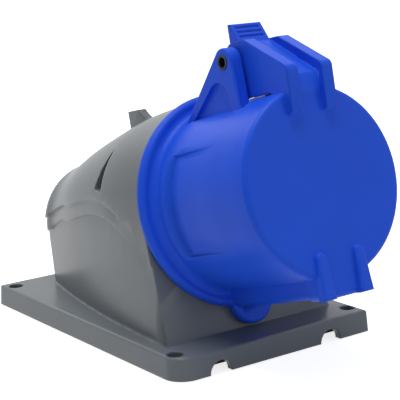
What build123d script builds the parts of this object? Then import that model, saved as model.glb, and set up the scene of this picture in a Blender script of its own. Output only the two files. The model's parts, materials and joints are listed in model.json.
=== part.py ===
from build123d import *
import os
from math import cos, radians, sin

os.makedirs("parts", exist_ok=True)

# Inclined pin and sleeve receptacle with a spring-closed lid, in millimetres.
# X is to the right, -Y to the front, Z up; the origin is the middle of the plate's underside.

# Mounting plate
PLATE_WIDTH = 94.0
PLATE_LENGTH = 142.5
PLATE_HEIGHT = 9.0
PLATE_CORNER = 2.5
PLATE_ROUND_CORNER = 8.5
PLATE_DRAFT = 3.0
PLATE_SKIN = 3.0
PLATE_EDGE = 1.2
RIM_WALL = 3.0
HOLE_SPACING_X = 85.0
HOLE_SPACING_Y = 127.5
HOLE_RADIUS = 3.2
BOSS_RADIUS = 5.6
NOTCH_SPACING = 54.0
NOTCH_RADIUS = 5.0

# Connector axis: it leans forward and up from the plate, and s = 0 is the collar's seat
TILT = 14.5
SEAT_Y = -42.3
SEAT_Z = 57.8

# Housing: a round hull on the connector axis over a pair of curved side walls
WALL = 3.0
SEAT_RADIUS = 40.5
WAIST_RADIUS = 37.2
NECK_RADIUS = 32.9
NOSE_RADIUS = 28.2
HULL_LENGTH = 111.4
NOSE_ROUND = 9.5
SIDE_FRONT = 38.5
SIDE_MIDDLE = 34.8
SIDE_BACK = 23.2
BACK_CORNER = 3.2
BACK_INSET = 0.4
FOOT_FILLET = 0.8
LEG_BACK_Y = -50.5
LEG_LEAN = 1.4
BROW_START_Z = 16.0
BROW_PEAK_Y = -4.0
BROW_PEAK_Z = 51.4
BROW_BAND = 6.5
BROW_BAND_DEPTH = 0.8
SPIGOT_CLEARANCE = 0.3

# Roof fin and flank slots
FIN_THICKNESS = 3.6
FIN_TOP_Z = 86.9
FIN_RISE = 1.7
FIN_BACK_Y = 25.4
FIN_BACK_LEAN = 1.5
FIN_TOP_LENGTH = 8.4
FIN_TOE_LENGTH = 12.5
FIN_TOE_Z = 84.2
SLOT_Y = -4.3
SLOT_WIDTH = 7.0
SLOT_TOP_Z = 77.5
SLOT_FLOOR_Z = 61.6
SLOT_DEPTH = 4.4
SLOT_WALL = 1.6
SLOT_INNER_X = 24.0

# Collar
SLEEVE_RADIUS = 35.5
SLEEVE_LENGTH = 52.5
SLEEVE_SPREAD = 0.4
BORE_RADIUS = 31.6
RING_RADIUS = 42.2
RING_THICKNESS = 2.9
RING_ROUND = 2.4
RING_FILLET = 3.2
LOBE_RADIUS = 9.6
LOBE_CENTRE = 40.0
LOBE_THICKNESS = 3.8
LOBE_ROUND = 1.6
LIP_HEIGHT = 1.9
LIP_THICKNESS = 1.2
KEEL_HALF_WIDTH = 9.8
KEEL_DEPTH = 42.3
KEEL_ROUND = 4.0
KEEL_TAPER = 1.4
KEYWAY_HALF_WIDTH = 5.6
KEYWAY_DEPTH = 39.2
SPIGOT_RADIUS = 32.0
SPIGOT_BORE = 29.8
SPIGOT_LENGTH = 13.0
WEB_THICKNESS = 5.0
WEB_BORE_CLEARANCE = 0.4
PANEL_SETBACK = 39.9
PANEL_LENGTH = 25.0
PANEL_DEPTH = 0.9
PANEL_TOP_ANGLE = 34.0
PANEL_BOTTOM_ANGLE = 31.0

# Hinge
PIN_SETBACK = 16.8
PIN_HEIGHT = 14.0
PIN_RADIUS = 2.5
PIN_BORE = 1.9
PIN_HEAD_RADIUS = 2.8
PIN_HEAD = 0.3
PIN_PLAY = 0.05
SPRING_RADIUS = 4.0
SPRING_WIRE = 1.2
SPRING_TURNS = 5
SPRING_PITCH = 1.8
SPRING_SIDES = 6
SPRING_LEG = 3.2
SPRING_ROOT_LEG = 13.3
EAR_INNER = 12.0
EAR_THICKNESS = 4.8
EAR_HALF_WIDTH = 5.2
EAR_POCKET = 1.5
EAR_EDGE = 0.7
EAR_FOOT = 29.5
EAR_ARCH_RADIUS = 6.5

# Lid
LID_DEPTH = 7.3
LID_RADIUS = 35.3
LID_PLATE = 3.2
LID_EDGE = 1.9
LID_RIM = 2.0
PARTING_GAP = 0.15
ARM_HALF_WIDTH = 10.5
RIB_WIDTH = 5.0
ARM_GAP = 0.8
KNUCKLE_RADIUS = 7.0
ARM_TOP_LENGTH = 6.4
ARM_FRONT_HEIGHT = 42.2
RIB_PROUD = 3.6
NOSE_TIP = 24.4
NOSE_FRONT = 2.4
ARM_ROUND = 2.5
HOLLOW_HALF_WIDTH = 7.5
HOLLOW_SKIN = 1.6
HOLLOW_LENGTH = 8.0
CHANNEL_FRONT_HEIGHT = 39.3
CHANNEL_DEPTH = 2.1
ARM_UNDERSIDE = 33.5
TAB_HALF_WIDTH = 7.2
TAB_HEIGHT = 14.2
TAB_LEAN = 4.1
TAB_THICKNESS = 1.3
TAB_GROOVE = 0.5
TAB_GROOVE_START = 1.7
TAB_GROOVE_PITCH = 2.1
TAB_GROOVES = 3
TAB_GROOVE_HALF_WIDTH = 5.6
LUG_HALF_WIDTH = 12.0
LUG_DEPTH = 41.4
LUG_ROUND = 3.5
GRIP_SPACING = 17.6
GRIP_TIP = 24.2
GRIP_WIDTH = 5.0
GRIP_FLARE = 0.7
GRIP_PROUD = 2.4
GRIP_TIP_PROUD = 1.7
GRIP_ROUND = 1.2
LID_LIP_CLEARANCE = 0.3

# Seals
COLLAR_GASKET = 1.0
LID_GASKET = 2.2
LID_GASKET_WIDTH = 3.4
MOUNT_GASKET_WIDTH = 4.6
SEAL_THICKNESS = 2.0
SEAL_WIDTH = 1.6

# Insert and contacts
CARRIER_RADIUS = 23.5
CARRIER_SETBACK = 12.0
CARRIER_FLANGE = 4.0
CARRIER_EDGE = 1.0
BACK_PLATE = 4.0
BACK_PLATE_RADIUS = 23.0
CONTACT_PITCH_RADIUS = 13.0
LIVE_PIN_RADIUS = 3.0
EARTH_PIN_RADIUS = 4.0
PIN_ENTRY_PLAY = 0.35
TUBE_WALL = 1.5
CONTACT_SETBACK = 2.0
CONTACT_PLAY = 0.1
SOCKET_DEPTH = 36.0
CONTACT_FLANGE = 1.6
FLANGE_THICKNESS = 2.0
BARREL_RADIUS = 5.2
BARREL_LENGTH = 17.0
WIRE_BORE = 2.7
WIRE_DEPTH = 13.0
SLOT_CUT = 0.8
SLOT_REACH = 16.0
CLIP_WIDTH = 3.0
CLIP_THICKNESS = 0.7
CLIP_SETBACK = 4.0
CLIP_GAP = 3.0

# Screws: shank radius, head radius and head height
COLLAR_SCREW = (1.5, 2.3, 1.9)
CARRIER_SCREW = (1.2, 2.1, 1.6)
BACK_SCREW = (1.2, 2.1, 1.6)
TERMINAL_SCREW = (2.0, 2.0, 0.0)
COLLAR_SCREW_CIRCLE = 35.2
COLLAR_SCREW_COVER = 0.3
CARRIER_SCREW_CIRCLE = 25.9
CARRIER_SCREW_BITE = 3.6
BACK_SCREW_CIRCLE = 14.5
BACK_SCREW_BITE = 9.0
TERMINAL_SCREW_LENGTH = 5.6
TERMINAL_SCREW_REACH = 7.0
DRIVE_DEPTH = 0.8
DRIVE_WIDTH = 0.7
SCREW_PLAY = 0.2
INSERT_PLAY = 0.2

# Stations along the axis, measured from the seat towards the front
ring_back = COLLAR_GASKET
ring_front = ring_back + RING_THICKNESS
mouth = ring_back + SLEEVE_LENGTH
lid_back = mouth + PARTING_GAP
face = lid_back + LID_DEPTH
pin_s = mouth - PIN_SETBACK
pin_v = SLEEVE_RADIUS + PIN_HEIGHT
web_back = ring_back + WEB_THICKNESS
web_front = web_back + WEB_THICKNESS
carrier_front = face - CARRIER_SETBACK
carrier_back_s = web_back - CARRIER_FLANGE
plate_back_s = carrier_back_s - BACK_PLATE
spigot_end = ring_back - SPIGOT_LENGTH
hull_end = -HULL_LENGTH

# The axis frame: forward along the axis, up across it
forward = Vector(0, -cos(radians(TILT)), sin(radians(TILT)))
upward = Vector(0, sin(radians(TILT)), cos(radians(TILT)))
seat = Vector(0, SEAT_Y, SEAT_Z)
axis = Axis(seat, forward)
side = Plane(origin=seat, x_dir=forward, z_dir=(-1, 0, 0))
deck = Plane(origin=seat, x_dir=(1, 0, 0), z_dir=upward)


def across(s):
    """The plane square to the axis at station s, with X to the right and Y up."""
    return Plane(origin=seat + forward * s, x_dir=(1, 0, 0), z_dir=forward)


def flank(x):
    """The side view plane moved to the given X, drawn in station and height."""
    return Plane(origin=seat + Vector(x, 0, 0), x_dir=forward, z_dir=(-1, 0, 0))


def finish(piece, name):
    """Label a finished piece and write its file."""
    piece.part.label = name
    export_step(piece.part, f"parts/{name}.step")


def spot(s, radius, angle):
    """A plane square to the axis, off the axis by a radius, with its X pointing outwards."""
    outwards = Vector(1, 0, 0) * cos(radians(angle)) + upward * sin(radians(angle))
    return Plane(origin=seat + forward * s + outwards * radius, x_dir=outwards, z_dir=forward)


def outline(wall):
    """Half outline of the hull in the deck plane, pulled in by a wall."""
    end = HULL_LENGTH - wall
    nose = NOSE_RADIUS - wall
    round_off = NOSE_ROUND - wall
    belly = Spline(
        (SEAT_RADIUS - wall, wall),
        (SEAT_RADIUS - 0.6 - wall, HULL_LENGTH * 0.26),
        (WAIST_RADIUS - wall, HULL_LENGTH * 0.455),
        (NECK_RADIUS - wall, HULL_LENGTH * 0.685),
        (NOSE_RADIUS + 0.9 - wall, HULL_LENGTH * 0.838),
        (nose, end - round_off),
        tangents=((0, 1), (0, 1)),
    )
    cap = RadiusArc(belly @ 1, (nose - round_off, end), -round_off)
    Polyline(cap @ 1, (0, end), (0, wall), belly @ 0)


def body(wall):
    """The moulding's form, round above the deck and straight below it, pulled in by a wall."""
    with BuildPart() as block:
        with BuildSketch(deck):
            with BuildLine():
                outline(wall)
            make_face()
        revolve(axis=axis, revolution_arc=180)
        with BuildSketch(deck):
            with BuildLine():
                outline(wall)
            make_face()
            mirror(about=Plane.YZ)
        extrude(amount=-2 * SEAT_Z)
        split(bisect_by=Plane.XY, keep=Keep.TOP)
    return block.part


def core(inset, height):
    """The block between the side walls, pulled in by an inset, from the ground up."""
    with BuildPart() as block:
        with BuildSketch(Plane.XY):
            with BuildLine():
                flank_curve = ThreePointArc(
                    (SIDE_FRONT + 1.6, -PLATE_LENGTH * 0.42),
                    (SIDE_MIDDLE, PLATE_LENGTH * 0.07),
                    (SIDE_BACK - 1.2, PLATE_LENGTH * 0.5),
                )
                mirrored = mirror(flank_curve, about=Plane.YZ)
                Line(flank_curve @ 0, mirrored @ 0)
                Line(flank_curve @ 1, mirrored @ 1)
            make_face()
            if inset != 0:
                offset(amount=-inset, kind=Kind.INTERSECTION)
        extrude(amount=height)
        split(bisect_by=across(-inset), keep=Keep.BOTTOM)
        split(bisect_by=across(hull_end + BACK_INSET + inset), keep=Keep.TOP)
        corners = block.edges().filter_by(lambda e: abs((e % 0.5).Y) < 0.5 and abs((e % 0.5).Z) > 0.9)
        fillet(corners.sort_by(axis)[:2], BACK_CORNER - inset)
    return block.part


def under_arch(raised):
    """Everything under the arched brow line, across the whole width, with the line raised."""
    with BuildPart() as block:
        with BuildSketch(Plane.YZ):
            with BuildLine():
                start = LEG_BACK_Y - 0.7 * raised
                leg = Line((start - LEG_LEAN, -1.0), (start, BROW_START_Z))
                arch = Spline(
                    leg @ 1,
                    (LEG_BACK_Y + 12.2 - 0.7 * raised, BROW_START_Z + 23.1 + 0.7 * raised),
                    (LEG_BACK_Y + 32.0 - 0.4 * raised, BROW_PEAK_Z - 1.6 + 0.9 * raised),
                    (BROW_PEAK_Y, BROW_PEAK_Z + raised),
                    (PLATE_LENGTH * 0.2, BROW_PEAK_Z - 8.2 + raised),
                    (PLATE_LENGTH * 0.5, BROW_PEAK_Z - 23.5 + raised),
                    tangents=(leg % 1, (1, -0.46)),
                )
                Polyline(arch @ 1, (PLATE_LENGTH, -1.0), leg @ 0)
            make_face()
        extrude(amount=PLATE_WIDTH, both=True)
    return block.part


def recess(wall):
    """What is taken away under the brow on both sides, up to the side walls."""
    with BuildPart() as cutter:
        add(under_arch(wall))
        add(core(wall, PLATE_WIDTH * 1.2), mode=Mode.SUBTRACT)
    return cutter.part


def brow_band():
    """The shallow step that runs along the brow, just above its lower edge."""
    with BuildPart() as cutter:
        add(under_arch(BROW_BAND))
        add(body(BROW_BAND_DEPTH), mode=Mode.SUBTRACT)
    return cutter.part


def side_walls():
    """The side and back walls below the deck, as a solid block."""
    with BuildPart() as block:
        add(core(0, PLATE_WIDTH))
        split(bisect_by=deck, keep=Keep.BOTTOM)
    return block.part


def inside():
    """The room inside the moulding, one wall in from every outer face."""
    slot_backs = flank_slots(SLOT_WALL)
    with BuildPart() as room:
        add(body(WALL))
        add(recess(WALL), mode=Mode.SUBTRACT)
        add(slot_backs, mode=Mode.SUBTRACT)
    return room.part


def fin():
    """The upright fin on the roof, with a hollowed front."""
    with BuildPart() as blade:
        with BuildSketch(Plane.YZ):
            with BuildLine():
                front_y = FIN_BACK_Y - FIN_TOP_LENGTH
                toe = (front_y - FIN_TOE_LENGTH, FIN_TOE_Z)
                rear = Line((FIN_BACK_Y - 2 * FIN_BACK_LEAN, FIN_TOP_Z - 14), (FIN_BACK_Y, FIN_TOP_Z))
                top = Line(rear @ 1, (front_y, FIN_TOP_Z + FIN_RISE))
                RadiusArc(top @ 1, toe, FIN_TOE_LENGTH * 1.5)
                Polyline(toe, (toe[0], FIN_TOP_Z - 14), rear @ 0)
            make_face()
        extrude(amount=FIN_THICKNESS / 2, both=True)
        add(body(WALL), mode=Mode.SUBTRACT)
    return blade.part


def flank_slots(grown):
    """The two pointed slots in the roof's flanks, grown by a wall on every side."""
    with BuildPart() as wedges:
        with BuildSketch(Plane.YZ.offset(SLOT_INNER_X)):
            Polygon(
                (SLOT_Y, SLOT_TOP_Z + 2 * grown),
                (SLOT_Y - SLOT_WIDTH / 2 - grown, SLOT_FLOOR_Z - grown),
                (SLOT_Y + SLOT_WIDTH / 2 + grown, SLOT_FLOOR_Z - grown),
                align=None,
            )
        extrude(amount=PLATE_WIDTH / 2)
        add(body(SLOT_DEPTH + grown), mode=Mode.SUBTRACT)
        mirror(about=Plane.YZ)
    return wedges.part


def drive_slot(plane, size):
    """The slot cut across a screw's head."""
    shank, head, height = size
    with BuildPart() as slot:
        with BuildSketch(plane.offset(-height)):
            Rectangle(3 * head, DRIVE_WIDTH)
        extrude(amount=DRIVE_DEPTH)
    return slot.part


def screws(planes, size, length):
    """Separate screws, each with its head behind its plane and its shank ahead of it."""
    shank, head, height = size
    slots = [drive_slot(plane, size) for plane in planes]
    with BuildPart() as group:
        for plane, slot in zip(planes, slots):
            with BuildSketch(plane):
                Circle(shank)
            extrude(amount=length)
            if height > 0:
                with BuildSketch(plane):
                    Circle(head)
                extrude(amount=-height)
            add(slot, mode=Mode.SUBTRACT)
    return group


def holes(planes, radius, depth):
    """Round cutters of the given depth, forward from each plane."""
    with BuildPart() as cutters:
        for plane in planes:
            with BuildSketch(plane):
                Circle(radius)
            extrude(amount=depth)
    return cutters.part


def tube(s, length, outer, inner):
    """A plain ring on the axis."""
    with BuildPart() as ring:
        with BuildSketch(across(s)):
            Circle(outer)
            Circle(inner, mode=Mode.SUBTRACT)
        extrude(amount=length)
    return ring


collar_screw_planes = [spot(-WALL, COLLAR_SCREW_CIRCLE, a) for a in (45, 135, 225, 315)]
collar_screw_length = WALL + COLLAR_GASKET + RING_THICKNESS - COLLAR_SCREW_COVER
carrier_screw_planes = [spot(carrier_back_s, CARRIER_SCREW_CIRCLE, a) for a in (90, 210, 330)]
carrier_screw_length = CARRIER_FLANGE + CARRIER_SCREW_BITE
back_screw_planes = [spot(plate_back_s, BACK_SCREW_CIRCLE, a) for a in (90, 210, 330)]
back_screw_length = BACK_PLATE + BACK_SCREW_BITE

# Housing walls: the moulding's form, stepped in along the brow and again under it
plan = core(0, PLATE_WIDTH * 1.2)
with BuildPart() as walls:
    add(body(0))
    add(brow_band(), mode=Mode.SUBTRACT)
    add(recess(0), mode=Mode.SUBTRACT)

# Housing: plate and side walls with their foot fillet, the walls, then the hollows
mount_holes = GridLocations(HOLE_SPACING_X, HOLE_SPACING_Y, 2, 2)
with BuildPart() as pocket:
    with BuildSketch(Plane.XY) as pocket_outline:
        Rectangle(PLATE_WIDTH - 2 * RIM_WALL, PLATE_LENGTH - 2 * RIM_WALL)
        near_corner = pocket_outline.vertices().sort_by(Axis((0, 0, 0), (1, 1, 0)))[0]
        fillet(near_corner, PLATE_ROUND_CORNER - RIM_WALL)
        with mount_holes:
            Circle(BOSS_RADIUS, mode=Mode.SUBTRACT)
    extrude(amount=PLATE_HEIGHT - PLATE_SKIN)
    add(walls.part, mode=Mode.SUBTRACT)
    add(side_walls(), mode=Mode.SUBTRACT)

slots = flank_slots(0)
with BuildPart() as housing:
    with BuildSketch(Plane.XY) as plate_outline:
        Rectangle(PLATE_WIDTH, PLATE_LENGTH)
        corners = plate_outline.vertices().sort_by(Axis((0, 0, 0), (1, 1, 0)))
        fillet(corners[0], PLATE_ROUND_CORNER)
        fillet(corners[1:], PLATE_CORNER)
    extrude(amount=PLATE_HEIGHT, taper=PLATE_DRAFT)
    fillet(housing.edges().group_by(Axis.Z)[-1], PLATE_EDGE)
    add(side_walls())
    foot = [
        edge
        for edge in housing.edges().filter_by(Plane.XY)
        if abs(edge.center().Z - PLATE_HEIGHT) < 0.01
        and Vertex(*edge.center()).distance_to(plan) < 0.5
        and edge.center().Y > -PLATE_LENGTH * 0.33
    ]
    fillet(foot, FOOT_FILLET)
    add(walls.part)
    add(fin())
    add(slots, mode=Mode.SUBTRACT)
    add(pocket.part, mode=Mode.SUBTRACT)
    add(inside(), mode=Mode.SUBTRACT)
    with BuildSketch(across(-2 * WALL)):
        Circle(SPIGOT_RADIUS + SPIGOT_CLEARANCE)
    extrude(amount=3 * WALL, mode=Mode.SUBTRACT)
    add(holes(collar_screw_planes, COLLAR_SCREW[0] + SCREW_PLAY, 2 * WALL), mode=Mode.SUBTRACT)
    with BuildSketch(Plane.XY):
        with mount_holes:
            Circle(HOLE_RADIUS)
    extrude(amount=PLATE_HEIGHT, mode=Mode.SUBTRACT)
    with BuildSketch(Plane.XZ.offset(PLATE_LENGTH / 2 - 2 * RIM_WALL)):
        with Locations((-NOTCH_SPACING / 2, 0), (NOTCH_SPACING / 2, 0)):
            Circle(NOTCH_RADIUS)
    extrude(amount=3 * RIM_WALL, mode=Mode.SUBTRACT)
finish(housing, "housing")


def ear():
    """The right-hand hinge ear, with the arched hollow in its outer face."""
    outer = EAR_INNER + EAR_THICKNESS
    with BuildPart() as blade:
        with BuildSketch(flank(outer)) as side_view:
            with Locations((pin_s, pin_v)):
                Circle(EAR_HALF_WIDTH)
            Polygon(
                (pin_s + EAR_HALF_WIDTH, EAR_FOOT),
                (pin_s + EAR_HALF_WIDTH, pin_v),
                (pin_s - EAR_HALF_WIDTH * 0.62, pin_v + EAR_HALF_WIDTH * 0.78),
                (ring_front, EAR_FOOT),
                align=None,
            )
        extrude(amount=EAR_THICKNESS)
        fillet(blade.faces().sort_by(Axis.X)[-1].edges(), EAR_EDGE)
        with BuildSketch(flank(outer)):
            with BuildLine():
                arch = FilletPolyline(
                    (pin_s + 0.8, EAR_FOOT - 1.0),
                    (pin_s - 1.1, pin_v - 1.3),
                    (ring_front + 8.0, EAR_FOOT + 2.1),
                    radius=EAR_ARCH_RADIUS,
                )
                Polyline(arch @ 1, (ring_front + 8.0, EAR_FOOT - 1.0), arch @ 0)
            make_face()
        extrude(amount=EAR_POCKET, mode=Mode.SUBTRACT)
    return blade.part


def panel():
    """The shallow recess on the right flank of the sleeve, deepest at its back."""
    start = spot(0, 0, PANEL_BOTTOM_ANGLE * -1)
    back = mouth - PANEL_SETBACK
    front = back + PANEL_LENGTH
    with BuildPart() as cutter:
        with BuildSketch(Plane(origin=seat, x_dir=forward, z_dir=forward.cross(start.x_dir))):
            Polygon(
                (back, SLEEVE_RADIUS + SLEEVE_SPREAD * 0.7 - PANEL_DEPTH),
                (front, SLEEVE_RADIUS + SLEEVE_SPREAD * 0.3),
                (front, SLEEVE_RADIUS + 2),
                (back, SLEEVE_RADIUS + 2),
                align=None,
            )
        revolve(axis=axis, revolution_arc=PANEL_TOP_ANGLE + PANEL_BOTTOM_ANGLE)
    return cutter.part


def lobe():
    """The half-round lobe below the ring flange, with a rounded front rim."""
    with BuildPart() as disc:
        with BuildSketch(across(ring_back)):
            with Locations((0, -LOBE_CENTRE)):
                Circle(LOBE_RADIUS)
        extrude(amount=LOBE_THICKNESS)
        fillet(disc.faces().sort_by(axis)[-1].edges(), LOBE_ROUND)
    return disc.part


# Collar: ring, sleeve, keel, lobe and ears, then everything hollow
round_lobe = lobe()
right_ear = ear()
right_panel = panel()
with BuildPart() as collar:
    with BuildSketch(side):
        Polygon(
            (spigot_end, 0),
            (spigot_end, SPIGOT_RADIUS),
            (ring_back, SPIGOT_RADIUS),
            (ring_back, RING_RADIUS),
            (ring_front, RING_RADIUS),
            (ring_front, SLEEVE_RADIUS + SLEEVE_SPREAD),
            (mouth, SLEEVE_RADIUS),
            (mouth, BORE_RADIUS + LIP_THICKNESS),
            (mouth + LIP_HEIGHT, BORE_RADIUS + LIP_THICKNESS),
            (mouth + LIP_HEIGHT, 0),
            align=None,
        )
    revolve(axis=axis)
    circles = collar.edges().filter_by(GeomType.CIRCLE)
    root = [e for e in circles if abs(e.radius - SLEEVE_RADIUS - SLEEVE_SPREAD) < 0.01]
    fillet(root, RING_FILLET)
    rims = [
        e
        for e in collar.edges().filter_by(GeomType.CIRCLE)
        if abs(e.radius - RING_RADIUS) < 0.01 and (e @ 0.5 - seat).dot(forward) > ring_front - 0.1
    ]
    fillet(rims, RING_ROUND)
    add(round_lobe)
    with BuildSketch(across(ring_back)) as keel:
        with Locations((0, -KEEL_DEPTH / 2)):
            Rectangle(2 * KEEL_HALF_WIDTH, KEEL_DEPTH)
        fillet(keel.vertices().group_by(Axis.Y)[0], KEEL_ROUND)
    extrude(amount=SLEEVE_LENGTH, taper=KEEL_TAPER)
    add(right_ear)
    add(mirror(right_ear, about=Plane.YZ, mode=Mode.PRIVATE))
    add(right_panel, mode=Mode.SUBTRACT)
    add(mirror(right_panel, about=Plane.YZ, mode=Mode.PRIVATE), mode=Mode.SUBTRACT)
    with BuildSketch(across(web_front)):
        Circle(BORE_RADIUS)
        with Locations((0, -KEYWAY_DEPTH / 2)):
            Rectangle(2 * KEYWAY_HALF_WIDTH, KEYWAY_DEPTH)
    extrude(amount=2 * SLEEVE_LENGTH, mode=Mode.SUBTRACT)
    with BuildSketch(across(web_back)):
        Circle(CARRIER_RADIUS + WEB_BORE_CLEARANCE)
    extrude(amount=SLEEVE_LENGTH, mode=Mode.SUBTRACT)
    with BuildSketch(across(web_back)):
        Circle(SPIGOT_BORE)
    extrude(amount=-2 * SPIGOT_LENGTH, mode=Mode.SUBTRACT)
    with BuildSketch(flank(0)):
        with Locations((pin_s, pin_v)):
            Circle(PIN_RADIUS + PIN_PLAY)
    extrude(amount=2 * EAR_INNER, both=True, mode=Mode.SUBTRACT)
    add(holes(collar_screw_planes, COLLAR_SCREW[0], collar_screw_length), mode=Mode.SUBTRACT)
    add(holes(carrier_screw_planes, CARRIER_SCREW[0], carrier_screw_length), mode=Mode.SUBTRACT)
finish(collar, "collar")

# Hinge pin: a tube with a thin rolled rim at each end
pin_end = EAR_INNER + EAR_THICKNESS
with BuildPart() as hinge_pin:
    with BuildSketch(flank(0)):
        with Locations((pin_s, pin_v)):
            Circle(PIN_RADIUS)
    extrude(amount=pin_end + PIN_HEAD, both=True)
    with BuildSketch(flank(pin_end)):
        with Locations((pin_s, pin_v)):
            Circle(PIN_HEAD_RADIUS)
    extrude(amount=-PIN_HEAD)
    with BuildSketch(flank(-pin_end)):
        with Locations((pin_s, pin_v)):
            Circle(PIN_HEAD_RADIUS)
    extrude(amount=PIN_HEAD)
    with BuildSketch(flank(0)):
        with Locations((pin_s, pin_v)):
            Circle(PIN_BORE)
    extrude(amount=2 * pin_end, both=True, mode=Mode.SUBTRACT)
finish(hinge_pin, "hinge_pin")

# Lid spring: a coil round the pin, one leg on the sleeve and one in the arm's hollow
hinge = seat + forward * pin_s + upward * pin_v
coil_half = SPRING_TURNS * SPRING_PITCH / 2
with BuildPart() as lid_spring:
    with BuildLine() as wire:
        turns = Helix(
            SPRING_PITCH,
            2 * coil_half,
            SPRING_RADIUS,
            center=hinge - Vector(coil_half, 0, 0),
            direction=(1, 0, 0),
            mode=Mode.PRIVATE,
        )
        add(turns.rotate(Axis(hinge, (1, 0, 0)), -90 - TILT))
    with BuildSketch(Plane(origin=wire.line @ 0, z_dir=wire.line % 0)):
        RegularPolygon(SPRING_WIRE / 2, SPRING_SIDES)
    sweep(path=wire.line, is_frenet=True)
    for end, towards, length in (
        (wire.line @ 0, forward * -0.12 - upward, SPRING_LEG),
        (wire.line @ 1, forward * -0.25 - upward, SPRING_ROOT_LEG),
    ):
        with BuildSketch(Plane(origin=end, z_dir=towards).offset(-SPRING_WIRE / 2)):
            RegularPolygon(SPRING_WIRE / 2, SPRING_SIDES)
        extrude(amount=length + SPRING_WIRE / 2)
finish(lid_spring, "lid_spring")


def arm():
    """The lid's arm: two ribs with a channel between them, and the hinge knuckle."""
    rib_top = pin_v + KNUCKLE_RADIUS
    with BuildPart() as whole:
        with BuildSketch(flank(0)):
            with Locations((pin_s, pin_v)):
                Circle(KNUCKLE_RADIUS)
            Polygon(
                (pin_s, rib_top),
                (pin_s + ARM_TOP_LENGTH, rib_top - 0.4),
                (pin_s + ARM_TOP_LENGTH, ARM_UNDERSIDE),
                (pin_s + 1.6, ARM_UNDERSIDE),
                align=None,
            )
        extrude(amount=ARM_HALF_WIDTH, both=True)
        with BuildSketch(flank(0)) as ribs:
            Polygon(
                (pin_s + ARM_TOP_LENGTH, rib_top - 0.4),
                (face + RIB_PROUD, ARM_FRONT_HEIGHT),
                (face + NOSE_FRONT, NOSE_TIP + 1.5),
                (face - LID_EDGE, NOSE_TIP),
                (face - LID_PLATE + 0.2, NOSE_TIP),
                (face - LID_PLATE + 0.2, ARM_UNDERSIDE),
                (pin_s + ARM_TOP_LENGTH, ARM_UNDERSIDE),
                align=None,
            )
            fillet(ribs.vertices().sort_by(Axis.X)[-1], ARM_ROUND)
        extrude(amount=ARM_HALF_WIDTH, both=True)
        with BuildSketch(flank(0)):
            Polygon(
                (pin_s + 1.9, rib_top + 2.5),
                (pin_s + 1.9, rib_top - 0.6),
                (face + RIB_PROUD - CHANNEL_DEPTH, CHANNEL_FRONT_HEIGHT),
                (face, NOSE_TIP + 7.6),
                (face, NOSE_TIP - 2),
                (face + 2 * RIB_PROUD, NOSE_TIP - 2),
                (face + 2 * RIB_PROUD, rib_top + 2.5),
                align=None,
            )
        extrude(amount=ARM_HALF_WIDTH - RIB_WIDTH, both=True, mode=Mode.SUBTRACT)
    return whole.part


def tab():
    """The thumb tab behind the arm, leaning back, with its grip grooves."""
    top = Vector(pin_s - 0.3 - TAB_LEAN, pin_v + TAB_HEIGHT)
    foot = Vector(pin_s - 0.3, pin_v + KNUCKLE_RADIUS - 0.8)
    down = (foot - top).normalized()
    with BuildPart() as blade:
        with BuildSketch(flank(0)):
            Polygon(
                (foot.X, foot.Y),
                (top.X, top.Y),
                (top.X - TAB_THICKNESS, top.Y + 0.3),
                (top.X - TAB_THICKNESS - 0.4, pin_v + KNUCKLE_RADIUS + 0.9),
                (top.X - TAB_THICKNESS - 0.9, pin_v + 3.4),
                (pin_s - 2.5, pin_v + 2.0),
                align=None,
            )
        extrude(amount=TAB_HALF_WIDTH, both=True)
        top_corners = blade.edges().filter_by(Axis.X).sort_by(Axis.Z)[-2:]
        fillet(top_corners, TAB_THICKNESS * 0.4)
        for number in range(TAB_GROOVES):
            centre = top + down * (TAB_GROOVE_START + TAB_GROOVE_PITCH * number)
            with BuildSketch(flank(0)):
                with Locations((centre.X, centre.Y)):
                    Circle(TAB_GROOVE)
            extrude(amount=TAB_GROOVE_HALF_WIDTH, both=True, mode=Mode.SUBTRACT)
    return blade.part


def grips():
    """The two grip ribs on the front of the lug, rising towards its lower edge."""
    with BuildPart() as pair:
        with BuildSketch(across(face - 1)):
            with BuildLine():
                middle = GRIP_SPACING / 2
                half = GRIP_WIDTH * 0.46
                foot_half = half + GRIP_FLARE
                tip = ThreePointArc(
                    (middle - half, -GRIP_TIP - half),
                    (middle, -GRIP_TIP),
                    (middle + half, -GRIP_TIP - half),
                )
                Polyline(tip @ 1, (middle + foot_half, -LUG_DEPTH), (middle - foot_half, -LUG_DEPTH), tip @ 0)
            make_face()
        extrude(amount=GRIP_PROUD + 1)
        with BuildSketch(flank(0)):
            Polygon(
                (face - 1, -GRIP_TIP),
                (face + GRIP_TIP_PROUD, -GRIP_TIP),
                (face + GRIP_PROUD, -LUG_DEPTH),
                (face - 1, -LUG_DEPTH),
                align=None,
            )
        extrude(amount=2 * LUG_HALF_WIDTH, both=True, mode=Mode.INTERSECT)
        outer = [e for e in pair.edges() if (e @ 0.5 - seat).dot(forward) > face + GRIP_TIP_PROUD - 0.1]
        fillet(outer, GRIP_ROUND)
        mirror(about=Plane.YZ)
    return pair.part


def lid_outline():
    """The lid's face: a disc with the squared lug below it."""
    with BuildSketch(Plane.XY) as outline_sketch:
        with Locations((0, -LUG_DEPTH / 2)):
            Rectangle(2 * LUG_HALF_WIDTH, LUG_DEPTH)
        fillet(outline_sketch.vertices().group_by(Axis.Y)[0], LUG_ROUND)
        Circle(LID_RADIUS)
    return outline_sketch.sketch


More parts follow.
